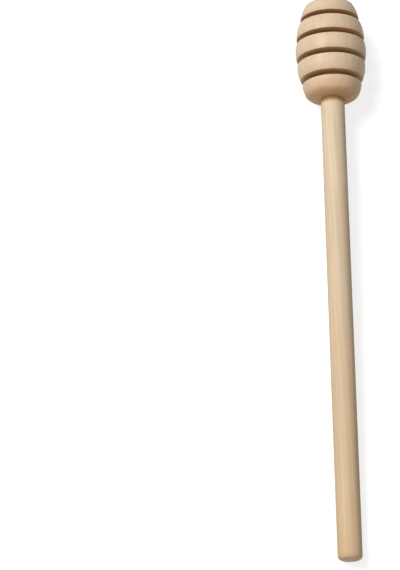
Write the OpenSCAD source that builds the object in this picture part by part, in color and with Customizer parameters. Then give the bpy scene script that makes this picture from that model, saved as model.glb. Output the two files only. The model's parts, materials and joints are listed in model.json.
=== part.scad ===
// Honey dipper: a grooved barrel of turned wood, glued on the end of a straight dowel.
// Millimetres. It lies on a table along X with its tip towards +X, and touches the table
// with its widest ring and with the end of its handle. The origin is on the table, under
// the middle of the dipper.

/* [Overall] */
// Length from the end of the handle to the tip of the head
overall_length = 160; // [120:1:220]

/* [Head] */
// Diameter of the barrel at its middle
belly_d = 19.6; // [18:0.1:26]
// Diameter that the barrel's outline falls to at both ends of the head
barrel_end_d = 13.4; // [13.4:0.1:16]
// Thickness of the ring at the tip
crown_ring_t = 4.3; // [3:0.1:5]
// Thickness of each ring between the tip's ring and the handle's
ring_t = 4.7; // [3:0.1:6]
// Thickness of the ring next to the handle
heel_ring_t = 4.6; // [4:0.1:6]
// Number of rings between the tip's ring and the handle's
middle_rings = 3; // [2:1:5]
// How far each ring swells beyond the barrel's outline, half way along the ring
ring_swell = 0.2; // [0.05:0.05:0.4]

/* [Grooves] */
// Width of each groove between two rings
groove_w = 1.4; // [1:0.1:3]
// Diameter of the core left at the floor of the grooves
groove_floor_d = 11.6; // [10.5:0.1:12]
// Radius of the fillet where a groove's wall meets its floor
groove_fillet = 0.3; // [0.1:0.05:0.45]

/* [Edges] */
// Rounding of each ring's edge that faces the tip
ring_round = 0.4; // [0.3:0.1:1.2]
// Rounding of the edge round the tip's face
tip_round = 0.4; // [0.3:0.1:1.6]
// Rounding of each ring's sharper edge, which faces the handle
edge_break = 0.15; // [0.1:0.05:0.4]
// How far along the head its rounded heel reaches, next to the handle
heel_round = 1.8; // [0.5:0.1:2.5]
// How far the rounded heel draws in towards the handle
heel_dome = 2.6; // [1:0.1:2.7]

/* [Handle] */
// Diameter of the dowel
handle_d = 7; // [5:0.1:7.5]
// Rounding at the free end of the dowel
end_round = 0.9; // [0.3:0.1:1.5]

/* [Joint] */
// Length of the tenon, the thinner end of the dowel that is glued inside the head
tenon_length = 14; // [8:0.5:18]
// Width of the shoulder where the dowel steps down to its tenon and seats on the head
shoulder_w = 0.6; // [0.4:0.1:1.2]
// Chamfer round the tenon's end
tenon_chamfer = 0.5; // [0.2:0.1:1]
// Gap all round the tenon that the glue fills
glue_gap = 0.1; // [0.05:0.05:0.15]
// Depth of the bore past the end of the tenon, where spare glue gathers
glue_pocket = 1; // [0.5:0.1:2]
// Point angle of the drill that made the bore
drill_angle = 118; // [90:1:140]
// Chamfer round the mouth of the bore, hidden under the shoulder
mouth_chamfer = 0.2; // [0.1:0.05:0.2]

/* [Hidden] */
$fn = 96;
// Flat steps along a rounded edge or fillet, and along the side of a ring
round_steps = 4;
side_steps = 4;
// How far the drill's shape starts outside the wood
overshoot = 1;

// Lengths along the dipper, counted from the end of the handle
ring_pitch = ring_t + groove_w;
head_length = crown_ring_t + groove_w + middle_rings * ring_pitch + heel_ring_t;
heel_at = overall_length - head_length;
mouth_at = heel_at + mouth_chamfer;
tenon_at = heel_at + tenon_length;
pocket_at = tenon_at + glue_pocket;

// Radii
belly_r = belly_d / 2;
floor_r = groove_floor_d / 2;
handle_r = handle_d / 2;
tenon_r = handle_r - shoulder_w;
bore_r = tenon_r + glue_gap;
drill_point = bore_r / tan(drill_angle / 2);

// The barrel's outline is one long arc, widest half way along the head
barrel_sag = (belly_d - barrel_end_d) / 2;
barrel_arc_r = (pow(head_length / 2, 2) + pow(barrel_sag, 2)) / (2 * barrel_sag);
barrel_middle = heel_at + head_length / 2;
function barrel_r(at) = belly_r - barrel_arc_r + sqrt(pow(barrel_arc_r, 2) - pow(at - barrel_middle, 2));

// Rings are counted from the heel, 0, to the crown
heel = 0;
crown = middle_rings + 1;
function ring_low(i) = i == heel ? heel_at : heel_at + heel_ring_t + groove_w + (i - 1) * ring_pitch;
function ring_high(i) = ring_low(i) + (i == heel ? heel_ring_t : i == crown ? crown_ring_t : ring_t);
function low_round(i) = i == heel ? heel_round : edge_break;
function low_depth(i) = i == heel ? heel_dome : edge_break;
function high_round(i) = i == crown ? tip_round : ring_round;

// How far an edge falls short of the full radius, at a distance from the ring's face. It is
// a quarter of an ellipse, as long as its reach along the ring and as deep as its depth.
function rounding(reach, depth, distance) =
    distance < reach ? depth * (1 - sqrt(1 - pow(1 - distance / reach, 2))) : 0;

// Radius of a ring at a place along the dipper: the barrel, the swell and the rounded edges
function ring_r(i, at) =
    let (low = ring_low(i), high = ring_high(i), from_middle = 2 * (at - low) / (high - low) - 1)
    barrel_r(at) + ring_swell * (1 - pow(from_middle, 2))
        - rounding(low_round(i), low_depth(i), at - low)
        - rounding(high_round(i), high_round(i), high - at);

// Places along a ring where its outline has a point, close together at its rounded edges
function ring_places(i) =
    let (low = ring_low(i), high = ring_high(i), low_r = low_round(i), high_r = high_round(i),
         side = high - high_r - low - low_r)
    concat(
        [for (s = [0:round_steps]) low + low_r * (1 - cos(90 * s / round_steps))],
        [for (s = [1:side_steps - 1]) low + low_r + side * s / side_steps],
        [for (s = [round_steps:-1:0]) high - high_r * (1 - cos(90 * s / round_steps))]);

// Points of an arc round [r, at], where an angle of 0 points outwards and 90 to the tip
function arc(r, at, radius, from, to) =
    [for (s = [0:round_steps]) let (angle = from + (to - from) * s / round_steps)
        [r + radius * cos(angle), at + radius * sin(angle)]];

// Floor of the groove between ring i and the next one, with a fillet at each wall
function groove(i) =
    let (centre_r = floor_r + groove_fillet)
    concat(
        arc(centre_r, ring_high(i) + groove_fillet, groove_fillet, 270, 180),
        arc(centre_r, ring_low(i + 1) - groove_fillet, groove_fillet, 180, 90));

// Half outlines as [radius, distance from the end of the handle]
rings = [for (i = [heel:crown]) each concat(
    [for (at = ring_places(i)) [ring_r(i, at), at]],
    i < crown ? groove(i) : [])];
head_outline = concat([[0, heel_at]], rings, [[0, overall_length]]);
handle_outline = concat(
    [[0, 0]],
    arc(handle_r - end_round, end_round, end_round, -90, 0),
    [[handle_r, heel_at],
     [tenon_r, heel_at],
     [tenon_r, tenon_at - tenon_chamfer],
     [tenon_r - tenon_chamfer, tenon_at],
     [0, tenon_at]]);
drill_outline = [
    [0, heel_at - overshoot],
    [bore_r + mouth_chamfer + overshoot, heel_at - overshoot],
    [bore_r, mouth_at],
    [bore_r, pocket_at],
    [0, pocket_at + drill_point]];
glue_outline = [
    [tenon_r, heel_at],
    [bore_r + mouth_chamfer, heel_at],
    [bore_r, mouth_at],
    [bore_r, pocket_at],
    [0, pocket_at + drill_point],
    [0, tenon_at],
    [tenon_r - tenon_chamfer, tenon_at],
    [tenon_r, tenon_at - tenon_chamfer]];

// The table touches the handle's end and the ring that needs the steepest lean
lean = max([for (p = rings) atan((p[0] - handle_r) / (p[1] - end_round))]);
tip_reach = max([for (p = rings) p[1] * cos(lean) + p[0] * sin(lean)]);
end_reach = min([for (p = handle_outline) p[1] * cos(lean) - p[0] * sin(lean)]);
lying_x = -(tip_reach + end_reach) / 2;
lying_z = handle_r * cos(lean) - end_round * sin(lean);

// Lays down a shape that stands on the end of the handle
module lay_down() {
    translate([lying_x, 0, lying_z]) rotate([0, 90 - lean, 0]) children();
}

module turned(outline) {
    rotate_extrude() polygon(outline);
}

// Barrel with its grooves, drilled for the handle
module head() {
    color([0.90, 0.82, 0.71])
    lay_down() difference() {
        turned(head_outline);
        turned(drill_outline);
    }
}

// Dowel, rounded at its free end and stepped down to a tenon at the other
module handle() {
    color([0.88, 0.79, 0.67])
    lay_down() turned(handle_outline);
}

// Cured glue round the tenon and in the bottom of the bore
module glue_line() {
    color([0.86, 0.78, 0.55])
    lay_down() turned(glue_outline);
}

head();
handle();
glue_line();
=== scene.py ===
"""Honey dipper, dressed for the studio: turned head, dowel handle and the glue between them."""

import json
import logging
import math
from dataclasses import dataclass, field
from enum import Enum

import bmesh
import bpy
from mathutils import Matrix, Vector, noise


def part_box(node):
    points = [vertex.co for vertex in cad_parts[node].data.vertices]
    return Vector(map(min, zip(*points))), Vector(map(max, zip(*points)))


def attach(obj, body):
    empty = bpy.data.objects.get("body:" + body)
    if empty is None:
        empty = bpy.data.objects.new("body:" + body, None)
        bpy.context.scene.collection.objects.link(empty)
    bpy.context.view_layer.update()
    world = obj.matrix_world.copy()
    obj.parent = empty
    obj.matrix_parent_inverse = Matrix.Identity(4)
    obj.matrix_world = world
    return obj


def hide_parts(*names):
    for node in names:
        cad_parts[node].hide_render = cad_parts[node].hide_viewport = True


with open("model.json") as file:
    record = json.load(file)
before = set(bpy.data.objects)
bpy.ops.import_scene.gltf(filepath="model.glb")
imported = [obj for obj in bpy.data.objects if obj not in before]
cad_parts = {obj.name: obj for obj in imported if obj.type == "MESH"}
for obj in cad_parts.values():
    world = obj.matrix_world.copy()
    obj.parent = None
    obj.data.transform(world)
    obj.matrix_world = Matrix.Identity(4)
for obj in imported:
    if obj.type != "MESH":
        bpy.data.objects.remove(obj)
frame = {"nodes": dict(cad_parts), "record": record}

logging.basicConfig(level=logging.INFO, format="%(name)s: %(message)s")
log = logging.getLogger("honey_dipper")

MM = 0.001
PHOTO_WIDTH = 400
PHOTO_HEIGHT = 570
SENSOR = 36.0
TIDY_DISTANCE = 1e-7
SHARP_ANGLE = math.radians(38)
# Two places along the dipper that are nearer than this count as one
SAME_PLACE = MM * 0.01
# How far from a corner, in radii of its rounding, the outline's next point stands
PAST_ROUND = 1.2
# Sockets of a Mix node that mixes colours
MIX_SHARE, MIX_FIRST, MIX_SECOND, MIX_RESULT = 0, 6, 7, 2

Colour = tuple[float, float, float]
Span = tuple[float, float]
WHITE: Colour = (1.0, 1.0, 1.0)


class Cut(Enum):
    """Marks on the mesh, each naming an attribute that the wood reads: where the wood was cut
    across, how deep in a groove a point is, and how much painted shade it gets.
    """

    CROSS = "cross_cut"
    GROOVE = "groove_depth"
    SHADE = "painted_shade_tone"


class WoodSlot(Enum):
    """Material slots of the record."""

    HEAD = "head_wood"
    HANDLE = "handle_wood"
    GLUE = "wood_glue"


def mount(name: str) -> dict:
    """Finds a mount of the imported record.

    Args:
        name: The mount's name.

    Returns:
        The mount as the record has it.
    """
    return next(m for m in frame["record"]["mounts"] if m["name"] == name)


@dataclass(frozen=True)
class Lay:
    """Where the dipper lies: its own axis runs from the handle's end, 0, to the tip."""

    foot: Vector
    axis: Vector
    length: float
    heel: float

    @classmethod
    def from_record(cls, end_round: float) -> "Lay":
        """Works the axis out from the record's mounts.

        Args:
            end_round: Rounding of the handle's free end, which the grip leaves out.

        Returns:
            The dipper's place in the frame.
        """
        grip, tip = mount("handle_grip"), mount("tip_face")
        grip_length = grip["dims"]["length_mm"] * MM
        middle, tip_at = Vector(grip["pos_m"]), Vector(tip["pos_m"])
        length = (tip_at - middle).length + grip_length / 2 + end_round
        axis = Vector(tip["axis"]).normalized()
        return cls(tip_at - axis * length, axis, length, grip_length + end_round)

    @property
    def lean(self) -> float:
        """Angle by which the axis rises towards the tip."""
        return math.asin(self.axis.z)

    def matrix(self) -> Matrix:
        """Turns a shape that stands on the handle's end into its lying place."""
        upright = Matrix.Rotation(math.pi / 2 - self.lean, 4, "Y")
        return Matrix.Translation(self.foot) @ upright


@dataclass
class TurnedOutline:
    """Half outline of a turned piece, drawn corner by corner and then spun."""

    steps: int
    segments: int = 6
    points: list[tuple[float, float]] = field(default_factory=list)
    rounds: list[float] = field(default_factory=list)

    def add(self, radius: float, at: float, rounding: float = 0.0) -> None:
        """Adds a corner of the outline.

        Args:
            radius: Distance from the axis.
            at: Distance from the handle's end.
            rounding: Radius of the rounding that the corner gets.
        """
        self.points.append((radius, at))
        self.rounds.append(rounding)

    def spun(self) -> bmesh.types.BMesh:
        """Rounds the corners, spins the outline and closes it.

        Returns:
            The closed shape, standing on the handle's end.
        """
        bm = bmesh.new()
        verts = [bm.verts.new((radius, 0, at)) for radius, at in self.points]
        for first, second in zip(verts, verts[1:]):
            bm.edges.new((first, second))
        for rounding in sorted({r for r in self.rounds if r > 0}):
            corners = [v for v, r in zip(verts, self.rounds) if r == rounding]
            bmesh.ops.bevel(
                bm,
                geom=corners,
                offset=rounding,
                offset_type="OFFSET",
                segments=self.segments,
                profile=0.5,
                affect="VERTICES",
                material=-1,
                clamp_overlap=True,
            )
        bmesh.ops.spin(
            bm,
            geom=bm.verts[:] + bm.edges[:],
            cent=(0, 0, 0),
            axis=(0, 0, 1),
            angle=2 * math.pi,
            steps=self.steps,
            use_merge=True,
        )
        bmesh.ops.remove_doubles(bm, verts=bm.verts[:], dist=TIDY_DISTANCE)
        bmesh.ops.dissolve_degenerate(bm, dist=TIDY_DISTANCE, edges=bm.edges[:])
        bmesh.ops.recalc_face_normals(bm, faces=bm.faces[:])
        return bm


def add_object(name: str, bm: bmesh.types.BMesh) -> bpy.types.Object:
    """Puts a finished bmesh into the scene as an object at the origin.

    Args:
        name: The piece's name.
        bm: The finished shape, which is freed.

    Returns:
        The new object, smooth except at its sharp edges.
    """
    for face in bm.faces:
        face.smooth = True
    for edge in bm.edges:
        if len(edge.link_faces) == 2 and edge.calc_face_angle() > SHARP_ANGLE:
            edge.smooth = False
    mesh = bpy.data.meshes.new(name)
    bm.to_mesh(mesh)
    bm.free()
    piece = bpy.data.objects.new(name, mesh)
    bpy.context.scene.collection.objects.link(piece)
    return piece


def mark(bm: bmesh.types.BMesh, cut: Cut, values: list[float]) -> None:
    """Writes an attribute that the wood reads, one number for each vertex.

    Args:
        bm: The shape.
        cut: Which attribute it is.
        values: The numbers, in the order of the vertices.
    """
    layer = bm.verts.layers.float.new(cut.value)
    for vert, value in zip(bm.verts, values):
        vert[layer] = value


@dataclass
class Shader:
    """A material's node tree, with short ways to add nodes."""

    material: bpy.types.Material

    @classmethod
    def start(cls, name: str) -> "Shader":
        """Makes an empty node material with that name."""
        material = bpy.data.materials.new(name)
        material.use_nodes = True
        material.node_tree.nodes.clear()
        return cls(material)

    def node(self, kind: str, settings: dict | None = None, **inputs: object) -> bpy.types.Node:
        """Adds a node.

        Args:
            kind: The node's type name, without its prefix.
            settings: Properties of the node itself.
            inputs: Values or sockets for its inputs, by name, with _ for a space.

        Returns:
            The new node.
        """
        made = self.material.node_tree.nodes.new("ShaderNode" + kind)
        for key, value in (settings or {}).items():
            setattr(made, key, value)
        for key, value in inputs.items():
            self.feed(made.inputs[key.replace("_", " ")], value)
        return made

    def feed(self, socket: bpy.types.NodeSocket, value: object) -> None:
        """Links another socket to this one, or sets its value."""
        if isinstance(value, bpy.types.NodeSocket):
            self.material.node_tree.links.new(value, socket)
        elif isinstance(value, tuple) and socket.type == "RGBA":
            socket.default_value = (*value, 1.0)
        else:
            socket.default_value = value

    def maths(self, operation: str, *values: object, clamp: bool = False) -> bpy.types.NodeSocket:
        """Adds a Math node and returns its result."""
        made = self.node("Math", {"operation": operation, "use_clamp": clamp})
        for socket, value in zip(made.inputs, values):
            self.feed(socket, value)
        return made.outputs[0]

    def ramp(self, value: object, limits: Span, result: Span) -> bpy.types.NodeSocket:
        """Maps a value smoothly from one span to another.

        Args:
            value: The socket to map.
            limits: Where the ramp starts and ends.
            result: What it gives at its start and at its end.

        Returns:
            The mapped value.
        """
        made = self.node("MapRange", {"interpolation_type": "SMOOTHSTEP"}, Value=value)
        for key, number in zip(("From Min", "From Max", "To Min", "To Max"), (*limits, *result)):
            self.feed(made.inputs[key], number)
        return made.outputs["Result"]

    def mix(
        self, share: object, first: object, second: object, blend: str = "MIX"
    ) -> bpy.types.NodeSocket:
        """Mixes two colours by a share."""
        made = self.node("Mix", {"data_type": "RGBA", "blend_type": blend})
        sockets = ((MIX_SHARE, share), (MIX_FIRST, first), (MIX_SECOND, second))
        for index, value in sockets:
            self.feed(made.inputs[index], value)
        return made.outputs[MIX_RESULT]

    def tinted(self, share: object, colour: object, tone: Colour) -> bpy.types.NodeSocket:
        """Multiplies a colour by a tone, by a share."""
        return self.mix(share, colour, self.mix(1.0, colour, tone, "MULTIPLY"))

    def cloud(
        self, vector: object, scale: float, detail: float = 2.0, roughness: float = 0.5
    ) -> bpy.types.NodeSocket:
        """Adds a Noise Texture and returns its value."""
        made = self.node("TexNoise", Vector=vector, Scale=scale, Detail=detail, Roughness=roughness)
        return made.outputs["Fac"]

    def stretched(self, vector: object, along: float, across: float) -> bpy.types.NodeSocket:
        """Scales the wood's own coordinates, along the fibres and across them."""
        scale = (along, across, across)
        made = self.node("Mapping", {"vector_type": "POINT"}, Vector=vector, Scale=scale)
        return made.outputs[0]

    def own_place(self, lay: Lay) -> bpy.types.NodeSocket:
        """Object coordinates turned to the dipper, in millimetres from the handle's end."""
        made = self.node(
            "Mapping",
            {"vector_type": "TEXTURE"},
            Vector=self.node("TexCoord").outputs["Object"],
            Location=tuple(lay.foot),
            Rotation=(0.0, -lay.lean, 0.0),
            Scale=(MM, MM, MM),
        )
        return made.outputs[0]

    def attribute(self, cut: Cut) -> bpy.types.NodeSocket:
        """Reads one of the marks on the mesh."""
        return self.node("Attribute", {"attribute_name": cut.value}).outputs["Fac"]

    def finish(self, surface: bpy.types.NodeSocket) -> bpy.types.Material:
        """Links the surface to the output and returns the material."""
        self.feed(self.node("OutputMaterial").inputs["Surface"], surface)
        return self.material


@dataclass(frozen=True)
class Grain:
    """Noise that is stretched along the fibres, and the part of it that shows."""

    along: float
    across: float
    detail: float = 2.0
    roughness: float = 0.5
    shows: Span = (0.0, 1.0)

    def cloud(self, shader: Shader, place: bpy.types.NodeSocket) -> bpy.types.NodeSocket:
        """Adds the noise on the dipper's own coordinates and returns its value."""
        stretched = shader.stretched(place, self.along, self.across)
        return shader.cloud(stretched, 1.0, self.detail, self.roughness)

    def share(self, shader: Shader, value: object, most: float) -> bpy.types.NodeSocket:
        """Maps the part that shows to a share, from 0 to the most that it gets."""
        return shader.ramp(value, self.shows, (0.0, most))


WAVES = Grain(along=0.012, across=0.05)
FIBRES = Grain(along=0.045, across=1.7, detail=5.0, roughness=0.62, shows=(0.36, 0.70))
THREADS = Grain(along=0.16, across=5.5, detail=3.0, roughness=0.6, shows=(0.40, 0.72))
PATCHES = Grain(along=0.035, across=0.16, shows=(0.36, 0.66))
FLECKS = Grain(along=0.55, across=3.6, detail=1.0, roughness=0.4, shows=(0.64, 0.74))
LATHE_MARKS = Grain(along=2.6, across=0.09, shows=(0.40, 0.66))


@dataclass(frozen=True)
class BareWood:
    """Pale, bare, sanded hardwood: growth rings, fibres, small flecks and end grain, with painted
    shade laid over them.

    The rings' lengths are in millimetres, as are the pith's two distances from the dipper's
    axis, sideways and up. The relief's depth is in metres.
    """

    name: str
    pale: Colour
    tan: Colour
    end_grain: Colour
    # Painted shade in the grooves, darkest at their floors.
    groove_shade_tone: Colour
    # Painted shade where the mesh marks it: the ring edges and heel facing the handle, and the
    # handle at the joint and its free end.
    painted_shade_tone: Colour
    # Painted shade towards the handle's free end, fading out this many millimetres along.
    falloff_shade_tone: Colour
    falloff_shade_until: float
    pith: tuple[float, float]
    ring_share: float
    fibre_share: float
    fleck_share: float
    lathe_share: float = 0.0
    patch_share: float = 0.22
    thread_part: float = 0.6
    ring_width: float = 1.9
    ring_drift: float = 0.021
    ring_wave: float = 5.5
    late_rise: Span = (0.15, 0.88)
    late_fall: Span = (0.90, 1.0)
    cut_shows: Span = (0.55, 0.98)
    cut_share: float = 0.85
    cut_rings: Span = (0.15, 0.75)
    fibre_relief: float = 0.6
    thread_relief: float = 0.4
    fleck_relief: float = 0.5
    relief_depth: float = 0.12 * MM
    bump: float = 0.10
    roughness: float = 0.58
    polished: Span = (0.3, 0.7)
    polish_range: Span = (-0.05, 0.08)
    specular: float = 0.22

    def rings(self, shader: Shader, place: bpy.types.NodeSocket) -> bpy.types.NodeSocket:
        """Growth rings round a pith outside the piece, slightly waved along the grain.

        Args:
            shader: The material's node tree.
            place: The dipper's own coordinates.

        Returns:
            0 in the early wood, rising to 1 at each ring's late edge.
        """
        split = shader.node("SeparateXYZ", Vector=place)
        along, side, up = (split.outputs[axis] for axis in ("X", "Y", "Z"))
        side = shader.maths("SUBTRACT", side, self.pith[0])
        up = shader.maths("SUBTRACT", up, self.pith[1])
        side_square = shader.maths("POWER", side, 2.0)
        up_square = shader.maths("POWER", up, 2.0)
        distance = shader.maths("SQRT", shader.maths("ADD", side_square, up_square))
        drift = shader.maths("MULTIPLY", along, self.ring_drift)
        wave = shader.maths("MULTIPLY", WAVES.cloud(shader, place), self.ring_wave)
        depth = shader.maths("ADD", shader.maths("ADD", distance, drift), wave)
        part = shader.maths("FRACT", shader.maths("DIVIDE", depth, self.ring_width))
        rise = shader.ramp(part, self.late_rise, (0.0, 1.0))
        fall = shader.ramp(part, self.late_fall, (1.0, 0.0))
        return shader.maths("MULTIPLY", rise, fall)

    def build(self, lay: Lay) -> bpy.types.Material:
        """Makes the material.

        Args:
            lay: Where the dipper lies.

        Returns:
            The node material.
        """
        shader = Shader.start(self.name)
        place = shader.own_place(lay)
        rings = self.rings(shader, place)
        fibres = FIBRES.cloud(shader, place)
        threads = THREADS.cloud(shader, place)
        patches = PATCHES.cloud(shader, place)
        flecks = FLECKS.share(shader, FLECKS.cloud(shader, place), 1.0)
        lathe = LATHE_MARKS.cloud(shader, place)

        share = shader.maths("MULTIPLY", rings, self.ring_share)
        streak = FIBRES.share(shader, fibres, self.fibre_share)
        thread = THREADS.share(shader, threads, self.fibre_share * self.thread_part)
        patch = PATCHES.share(shader, patches, self.patch_share)
        share = shader.maths("ADD", share, streak)
        share = shader.maths("ADD", share, shader.maths("ADD", thread, patch))
        share = shader.maths("ADD", share, shader.maths("MULTIPLY", flecks, self.fleck_share))
        turned = LATHE_MARKS.share(shader, lathe, self.lathe_share)
        share = shader.maths("ADD", share, turned, clamp=True)
        colour = shader.mix(share, self.pale, self.tan)

        # Painted shade, darker and warmer towards the handle's free end, where the light falls off.
        along = shader.node("SeparateXYZ", Vector=place).outputs["X"]
        falloff_shade = shader.ramp(along, (0.0, self.falloff_shade_until), (1.0, 0.0))
        colour = shader.tinted(falloff_shade, colour, self.falloff_shade_tone)
        cut_rings = shader.ramp(rings, (0.0, 1.0), self.cut_rings)
        grain = shader.mix(cut_rings, self.end_grain, self.tan)
        cross = shader.ramp(shader.attribute(Cut.CROSS), self.cut_shows, (0.0, self.cut_share))
        colour = shader.mix(cross, colour, grain)
        # Painted shade: darker towards each groove's floor, and where the mesh marks the ring
        # edges, the heel and the joint.
        for cut, tone in ((Cut.GROOVE, self.groove_shade_tone), (Cut.SHADE, self.painted_shade_tone)):
            colour = shader.tinted(shader.attribute(cut), colour, tone)

        fibre_height = shader.maths("MULTIPLY", fibres, self.fibre_relief)
        thread_height = shader.maths("MULTIPLY", threads, self.thread_relief)
        fleck_depth = shader.maths("MULTIPLY", flecks, self.fleck_relief)
        height = shader.maths("ADD", fibre_height, thread_height)
        height = shader.maths("SUBTRACT", height, fleck_depth)
        bump = shader.node("Bump", Height=height, Strength=self.bump, Distance=self.relief_depth)
        least, most = (self.roughness + change for change in self.polish_range)
        polish = shader.ramp(fibres, self.polished, (least, most))
        surface = shader.node(
            "BsdfPrincipled",
            Base_Color=colour,
            Roughness=polish,
            Specular_IOR_Level=self.specular,
            Normal=bump.outputs[0],
        )
        return shader.finish(surface.outputs[0])


@dataclass(frozen=True)
class CuredGlue:
    """Cured wood glue: yellowish, satin, with small bubbles."""

    name: str = "wood_glue"
    body: Colour = (0.64, 0.51, 0.23)
    bubble: Colour = (0.72, 0.62, 0.36)
    bubbles_a_mm: float = 2.5
    bubble_edge: Span = (0.05, 0.30)
    clouds_a_mm: float = 0.8
    cloud_detail: float = 3.0
    bump: float = 0.2
    relief_depth: float = 0.05 * MM
    roughness: float = 0.42

    def build(self, lay: Lay) -> bpy.types.Material:
        """Makes the material.

        Args:
            lay: Where the dipper lies.

        Returns:
            The node material.
        """
        shader = Shader.start(self.name)
        place = shader.own_place(lay)
        cells = shader.node("TexVoronoi", {"feature": "F1"}, Vector=place, Scale=self.bubbles_a_mm)
        bubbles = shader.ramp(cells.outputs["Distance"], self.bubble_edge, (1.0, 0.0))
        clouds = shader.cloud(place, self.clouds_a_mm, self.cloud_detail)
        colour = shader.mix(shader.maths("MULTIPLY", bubbles, clouds), self.body, self.bubble)
        bump = shader.node("Bump", Height=bubbles, Strength=self.bump, Distance=self.relief_depth)
        surface = shader.node(
            "BsdfPrincipled",
            Base_Color=colour,
            Roughness=self.roughness,
            Normal=bump.outputs[0],
        )
        return shader.finish(surface.outputs[0])


@dataclass(frozen=True)
class WhiteFloor:
    """Matt white paper, which stays white to the camera where no shadow falls."""

    name: str = "floor_paper"
    colour: Colour = (0.50, 0.50, 0.50)
    glow: float = 0.74

    def build(self) -> bpy.types.Material:
        """Makes the material, with some of its white given to the camera and to reflections."""
        shader = Shader.start(self.name)
        paper = shader.node("BsdfDiffuse", Color=self.colour, Roughness=0.0)
        rays = shader.node("LightPath").outputs
        seen = shader.maths("ADD", rays["Is Camera Ray"], rays["Is Glossy Ray"], clamp=True)
        seen = shader.maths("ADD", seen, rays["Is Transmission Ray"], clamp=True)
        strength = shader.maths("MULTIPLY", seen, self.glow)
        glow = shader.node("Emission", Color=WHITE, Strength=strength)
        both = shader.node("AddShader")
        shader.feed(both.inputs[0], paper.outputs[0])
        shader.feed(both.inputs[1], glow.outputs[0])
        return shader.finish(both.outputs[0])


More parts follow.
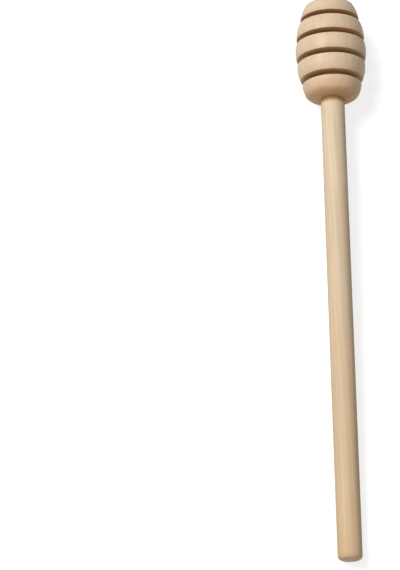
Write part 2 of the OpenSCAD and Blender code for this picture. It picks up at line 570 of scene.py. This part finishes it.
@dataclass
class TurnedHead:
    """The grooved barrel of turned wood, drilled for the handle."""

    lay: Lay
    finish: BareWood
    crown_ring: float = 4.3 * MM
    ring: float = 4.7 * MM
    heel_ring: float = 4.6 * MM
    groove_width: float = 1.4 * MM
    groove_floor_radius: float = 5.8 * MM
    groove_fillet: float = 0.3 * MM
    barrel_end_radius: float = 6.7 * MM
    ring_swell: float = 0.2 * MM
    ring_round: float = 0.4 * MM
    tip_round: float = 0.4 * MM
    heel_round: float = 1.8 * MM
    heel_dome: float = 2.6 * MM
    edge_break: float = 0.15 * MM
    bore_radius: float = 3.0 * MM
    bore_depth: float = 15.0 * MM
    mouth_chamfer: float = 0.2 * MM
    drill_angle: float = math.radians(118)
    middle_rings: int = 3
    side_points: int = 5
    dome_points: int = 10
    steps: int = 176
    worn: float = 0.035 * MM
    wear_across: float = 90.0
    wear_along: float = 600.0
    # Painted shade, warmer and darker: how far it reaches from the heel and from each ring's edge
    # facing the handle, its share at the ring edges and how fast it fades.
    heel_shade_reach: float = 5.5 * MM
    edge_shade_reach: float = 2.2 * MM
    edge_shade_share: float = 0.5
    shade_fall: float = 1.5
    belly_radius: float = field(init=False)

    def __post_init__(self) -> None:
        """Takes the largest radius of the barrel's outline from the CAD node's width."""
        low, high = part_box("head")
        self.belly_radius = (high.y - low.y) / 2 - self.ring_swell

    def barrel(self, at: float) -> float:
        """Radius of the barrel's long arc at a distance from the handle's end."""
        half = (self.lay.length - self.lay.heel) / 2
        sag = self.belly_radius - self.barrel_end_radius
        bow = (half**2 + sag**2) / (2 * sag)
        return self.belly_radius - bow + math.sqrt(bow**2 - (at - self.lay.heel - half) ** 2)

    def rings(self) -> list[tuple[float, float]]:
        """Where each ring starts and ends, from the heel's ring to the tip's."""
        widths = [self.heel_ring, *[self.ring] * self.middle_rings, self.crown_ring]
        places, at = [], self.lay.heel
        for width in widths:
            places.append((at, at + width))
            at += width + self.groove_width
        return places

    def side(self, at: float, low: float, high: float) -> float:
        """Radius of a ring's side, which swells half way between its ends."""
        across = 2 * (at - low) / (high - low) - 1
        return self.barrel(at) + self.ring_swell * (1 - across**2)

    def add_heel(self, outline: TurnedOutline, low: float, high: float) -> None:
        """Adds the heel's dome, a quarter of an ellipse from the handle out to the ring's side.

        Args:
            outline: The outline, which is added to.
            low: Where the heel's ring starts.
            high: Where the heel's ring ends.
        """
        for step in range(self.dome_points + 1):
            angle = math.pi / 2 * step / self.dome_points
            at = low + self.heel_round * (1 - math.cos(angle))
            outline.add(self.side(at, low, high) - self.heel_dome * (1 - math.sin(angle)), at)

    def add_ring(self, outline: TurnedOutline, low: float, high: float, high_round: float) -> None:
        """Adds one ring's side to the outline.

        Args:
            outline: The outline, which is added to.
            low: Where the ring starts.
            high: Where the ring ends.
            high_round: Rounding of its edge towards the tip.
        """
        heel = low == self.lay.heel
        if heel:
            self.add_heel(outline, low, high)
        else:
            outline.add(self.barrel(low), low, self.edge_break)
        start = low + PAST_ROUND * (self.heel_round if heel else self.edge_break)
        end = high - PAST_ROUND * high_round
        for step in range(self.side_points):
            at = start + (end - start) * step / (self.side_points - 1)
            outline.add(self.side(at, low, high), at)
        outline.add(self.barrel(high), high, high_round)

    def outline(self) -> TurnedOutline:
        """Draws the head's half outline.

        Returns:
            The outline from the bottom of the bore round to the middle of the tip.
        """
        heel = self.lay.heel
        outline = TurnedOutline(self.steps)
        point = self.bore_radius / math.tan(self.drill_angle / 2)
        outline.add(0, heel + self.bore_depth + point)
        outline.add(self.bore_radius, heel + self.bore_depth)
        outline.add(self.bore_radius, heel + self.mouth_chamfer)
        outline.add(self.bore_radius + self.mouth_chamfer, heel)
        rings = self.rings()
        for index, (low, high) in enumerate(rings):
            crown = index == len(rings) - 1
            self.add_ring(outline, low, high, self.tip_round if crown else self.ring_round)
            if not crown:
                outline.add(self.groove_floor_radius, high, self.groove_fillet)
                outline.add(self.groove_floor_radius, high + self.groove_width, self.groove_fillet)
        outline.add(0, self.lay.length)
        return outline

    def wear(self, bm: bmesh.types.BMesh) -> None:
        """Sands the rings a little unevenly, never past their turned size."""
        for vert in bm.verts:
            radius = math.hypot(vert.co.x, vert.co.y)
            if radius > self.groove_floor_radius:
                side, front = vert.co.x * self.wear_across, vert.co.y * self.wear_across
                place = Vector((side, front, vert.co.z * self.wear_along))
                cut = self.worn * (0.5 + 0.5 * noise.noise(place))
                vert.co.x *= 1 - cut / radius
                vert.co.y *= 1 - cut / radius

    def build(self) -> bpy.types.Object:
        """Makes the head's mesh.

        Returns:
            The head in its place.
        """
        bm = self.outline().spun()
        self.wear(bm)
        bm.normal_update()
        bm.verts.ensure_lookup_table()
        mark(bm, Cut.CROSS, [abs(v.normal.z) for v in bm.verts])
        # How deep in a groove each point is, for the painted shade there.
        mark(bm, Cut.GROOVE, [self.depth(math.hypot(v.co.x, v.co.y), v.co.z) for v in bm.verts])
        # Painted shade at the heel's underside and at each ring's edge facing the handle.
        mark(bm, Cut.SHADE, [self.painted_shade_share(v.co.z) for v in bm.verts])
        bmesh.ops.transform(bm, matrix=self.lay.matrix(), verts=bm.verts[:])
        return add_object("turned_head", bm)

    def depth(self, radius: float, at: float) -> float:
        """How deep in a groove a point is, from 0 at the rings to 1 at the floor, which sets the
        painted shade there.
        """
        below = self.barrel(min(max(at, self.lay.heel), self.lay.length)) - radius
        whole = self.barrel(at) - self.groove_floor_radius
        walls = [(high, high + self.groove_width) for _, high in self.rings()[:-1]]
        inside = any(low < at + SAME_PLACE and at < high + SAME_PLACE for low, high in walls)
        return max(0.0, min(1.0, below / whole)) if inside else 0.0

    def painted_shade_share(self, at: float) -> float:
        """How much painted shade the wood gets, warmer and darker, most at the heel's underside and
        at each ring's edge facing the handle.
        """
        low = max(low for low, _ in self.rings() if low < at + SAME_PLACE)
        heel = low == self.lay.heel
        reach, most = (self.heel_shade_reach, 1.0) if heel else (self.edge_shade_reach, self.edge_shade_share)
        return most * max(0.0, 1 - (at - low) / reach) ** self.shade_fall

    def dress(self, piece: bpy.types.Object) -> None:
        """Gives the head its wood and ties it to the frame."""
        piece.data.materials.append(self.finish.build(self.lay))
        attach(piece, "root")
        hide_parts("head")


@dataclass
class DowelHandle:
    """The straight dowel, rounded at its free end and stepped down to a tenon.

    The photo shows it a little thinner and rounder at its free end than the solid is.
    """

    lay: Lay
    finish: BareWood
    end_round: float = 0.9 * MM
    thinner: float = 0.15 * MM
    photo_round: float = 1.3 * MM
    round_steps: int = 8
    # Painted shadow of the head on the handle at the joint: how far it reaches and how fast it
    # darkens; then painted shade at the free end: how dark and how far.
    joint_shadow: float = 1.8 * MM
    joint_shadow_gain: float = 1.6
    end_shade: float = 0.16
    end_shade_reach: float = 5.0 * MM
    shoulder: float = 0.45 * MM
    tenon: float = 14.0 * MM
    tenon_chamfer: float = 0.5 * MM
    stretches: int = 60
    # Outline points within the painted shadow at the joint.
    joint_shadow_steps: int = 8
    steps: int = 128

    @property
    def radius(self) -> float:
        """The dowel's radius in the photo, from the grip mount's, which is the solid's."""
        return mount("handle_grip")["dims"]["r_mm"] * MM - self.thinner

    def outline(self) -> TurnedOutline:
        """Draws the handle's half outline.

        Returns:
            The outline from the middle of the free end to the middle of the tenon's end.
        """
        outline = TurnedOutline(self.steps, segments=self.round_steps)
        outline.add(0, 0)
        outline.add(self.radius, 0, self.photo_round)
        start, unshaded = PAST_ROUND * self.photo_round, self.lay.heel - self.joint_shadow
        for stretch in range(self.stretches):
            outline.add(self.radius, start + (unshaded - start) * stretch / self.stretches)
        # Closer points where the painted shadow at the joint darkens.
        for step in range(self.joint_shadow_steps + 1):
            outline.add(self.radius, unshaded + self.joint_shadow * step / self.joint_shadow_steps)
        thin, end = self.radius - self.shoulder, self.lay.heel + self.tenon
        outline.add(thin, self.lay.heel)
        outline.add(thin, end - self.tenon_chamfer)
        outline.add(thin - self.tenon_chamfer, end)
        outline.add(0, end)
        return outline

    def build(self) -> bpy.types.Object:
        """Makes the handle's mesh.

        Returns:
            The handle in its place.
        """
        bm = self.outline().spun()
        bm.normal_update()
        mark(bm, Cut.CROSS, [abs(v.normal.z) for v in bm.verts])
        mark(bm, Cut.GROOVE, [0.0 for _ in bm.verts])
        # Painted shadow of the head at the joint, and painted shade at the free end.
        mark(bm, Cut.SHADE, [self.painted_shadow_share(v.co.z) for v in bm.verts])
        bmesh.ops.transform(bm, matrix=self.lay.matrix(), verts=bm.verts[:])
        return add_object("dowel_handle", bm)

    def painted_shadow_share(self, at: float) -> float:
        """How much painted shade the wood gets: 1 at the glued joint, which is the head's painted
        shadow on the handle, and a little at the free end.
        """
        from_head = (self.lay.heel - at) / self.joint_shadow
        share = min(1.0, max(0.0, self.joint_shadow_gain * (1 - from_head)))
        end_shade_share = self.end_shade * max(0.0, 1 - at / self.end_shade_reach)
        return max(end_shade_share, share * share * (3 - 2 * share))

    def dress(self, piece: bpy.types.Object) -> None:
        """Gives the handle its wood and ties it to the frame."""
        piece.data.materials.append(self.finish.build(self.lay))
        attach(piece, "root")
        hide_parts("handle")


@dataclass
class GlueLine:
    """The cured glue inside the head, whose CAD shape stays."""

    lay: Lay
    finish: CuredGlue

    def dress(self, piece: bpy.types.Object) -> None:
        """Gives the CAD node its glue."""
        piece.data.materials.clear()
        piece.data.materials.append(self.finish.build(self.lay))


@dataclass(frozen=True)
class Softbox:
    """A square studio lamp that looks at the dipper."""

    name: str
    azimuth: float
    elevation: float
    power: float
    distance: float = 1.0
    size: float = 0.5

    def build(self, target: Vector) -> bpy.types.Object:
        """Makes the lamp.

        Args:
            target: The point that it looks at.

        Returns:
            The lamp's object.
        """
        data = bpy.data.lights.new(self.name, "AREA")
        data.shape = "SQUARE"
        data.size = self.size
        data.energy = self.power
        lamp = bpy.data.objects.new(self.name, data)
        back = direction(self.azimuth, self.elevation)
        lamp.location = target + back * self.distance
        lamp.rotation_euler = (-back).to_track_quat("-Z", "Y").to_euler()
        bpy.context.scene.collection.objects.link(lamp)
        return lamp


def direction(azimuth: float, elevation: float) -> Vector:
    """Direction from the dipper towards a camera or a lamp.

    Args:
        azimuth: Degrees round the dipper, 0 from the -Y side and 90 from the +X side.
        elevation: Degrees above the horizon.

    Returns:
        The unit direction.
    """
    turn, rise = math.radians(azimuth), math.radians(elevation)
    level = math.cos(rise)
    return Vector((math.sin(turn) * level, -math.cos(turn) * level, math.sin(rise)))


@dataclass(frozen=True)
class PhotoCamera:
    """The photograph's camera, on the handle's side and high above the table."""

    target: tuple[float, float, float] = (0.006 * MM, 38.298 * MM, 0.0)
    azimuth: float = 268.8685
    elevation: float = 69.5662
    distance: float = 699.84 * MM
    focal_pixels: float = 2522.2
    nearest: float = 10 * MM

    def build(self) -> bpy.types.Object:
        """Makes the camera and makes it the scene's own.

        Returns:
            The camera's object.
        """
        data = bpy.data.cameras.new("photo_camera")
        data.sensor_width = SENSOR
        data.lens = self.focal_pixels / max(PHOTO_WIDTH, PHOTO_HEIGHT) * SENSOR
        data.clip_start = self.nearest
        camera = bpy.data.objects.new("photo_camera", data)
        back = direction(self.azimuth, self.elevation)
        camera.location = Vector(self.target) + back * self.distance
        camera.rotation_euler = (-back).to_track_quat("-Z", "Y").to_euler()
        bpy.context.scene.collection.objects.link(camera)
        bpy.context.scene.camera = camera
        return camera


@dataclass
class Studio:
    """White floor, white surroundings and soft lamps."""

    floor_half: float = 3.0
    ambient: float = 0.05
    lamps: tuple[Softbox, ...] = (
        Softbox("key_lamp", azimuth=150.0, elevation=57.0, power=9.3),
        Softbox("fill_lamp", azimuth=300.0, elevation=50.0, power=1.8),
        Softbox("front_lamp", azimuth=262.0, elevation=26.0, power=1.0),
    )

    def floor(self) -> bpy.types.Object:
        """Makes the floor at the table's height."""
        bm = bmesh.new()
        bmesh.ops.create_grid(bm, x_segments=1, y_segments=1, size=self.floor_half)
        floor = add_object("studio_floor", bm)
        floor.data.materials.append(WhiteFloor().build())
        return floor

    def surroundings(self) -> None:
        """Makes the world: plain light on the dipper, white where it is seen."""
        world = bpy.data.worlds.new("white_room")
        bpy.context.scene.world = world
        world.use_nodes = True
        tree = world.node_tree
        background = tree.nodes["Background"]
        background.inputs["Color"].default_value = (*WHITE, 1.0)
        rays = tree.nodes.new("ShaderNodeLightPath").outputs
        seen = tree.nodes.new("ShaderNodeMath")
        seen.operation = "MAXIMUM"
        tree.links.new(rays["Is Camera Ray"], seen.inputs[0])
        either = tree.nodes.new("ShaderNodeMath")
        either.operation = "MAXIMUM"
        tree.links.new(rays["Is Glossy Ray"], either.inputs[0])
        tree.links.new(rays["Is Transmission Ray"], either.inputs[1])
        tree.links.new(either.outputs[0], seen.inputs[1])
        level = tree.nodes.new("ShaderNodeMapRange")
        tree.links.new(seen.outputs[0], level.inputs["Value"])
        level.inputs["To Min"].default_value = self.ambient
        level.inputs["To Max"].default_value = 1.0
        tree.links.new(level.outputs["Result"], background.inputs["Strength"])

    def build(self) -> None:
        """Makes the floor, the surroundings and the lamps."""
        self.floor()
        self.surroundings()
        for lamp in self.lamps:
            lamp.build(Vector((0.0, 0.0, 0.0)))


def main() -> None:
    """Builds the dipper, the studio and the camera."""
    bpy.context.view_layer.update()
    bpy.context.scene.view_settings.view_transform = "Standard"
    lay = Lay.from_record(DowelHandle.end_round)
    head_wood = BareWood(
        "head_wood",
        pale=(0.755, 0.585, 0.415),
        tan=(0.60, 0.43, 0.26),
        end_grain=(0.66, 0.49, 0.31),
        # Painted shade in the grooves.
        groove_shade_tone=(0.58, 0.45, 0.33),
        # Painted shade at the ring edges and the heel facing the handle.
        painted_shade_tone=(0.86, 0.67, 0.47),
        falloff_shade_tone=WHITE,
        falloff_shade_until=1.0,
        pith=(-26.0, -34.0),
        ring_share=0.14,
        fibre_share=0.16,
        fleck_share=0.15,
        lathe_share=0.14,
        roughness=0.50,
        specular=0.42,
    )
    handle_wood = BareWood(
        "handle_wood",
        pale=(0.77, 0.62, 0.44),
        tan=(0.62, 0.45, 0.28),
        end_grain=(0.76, 0.56, 0.40),
        groove_shade_tone=WHITE,
        # Painted shadow at the joint and painted shade at the free end.
        painted_shade_tone=(0.57, 0.39, 0.28),
        # Painted shade towards the free end, where the light falls off.
        falloff_shade_tone=(0.94, 0.86, 0.75),
        falloff_shade_until=110.0,
        pith=(38.0, -22.0),
        ring_width=1.5,
        ring_share=0.20,
        fibre_share=0.18,
        fleck_share=0.20,
    )
    head = TurnedHead(lay, head_wood)
    handle = DowelHandle(lay, handle_wood)
    for maker in (head, handle):
        piece = maker.build()
        maker.dress(piece)
        log.info("%s: %d faces", piece.name, len(piece.data.polygons))
    glue = frame["nodes"]["glue_line"]
    GlueLine(lay, CuredGlue()).dress(glue)
    log.info("%s: CAD shape kept, %d faces", glue.name, len(glue.data.polygons))
    Studio().build()
    PhotoCamera().build()


if __name__ == "__main__":
    main()
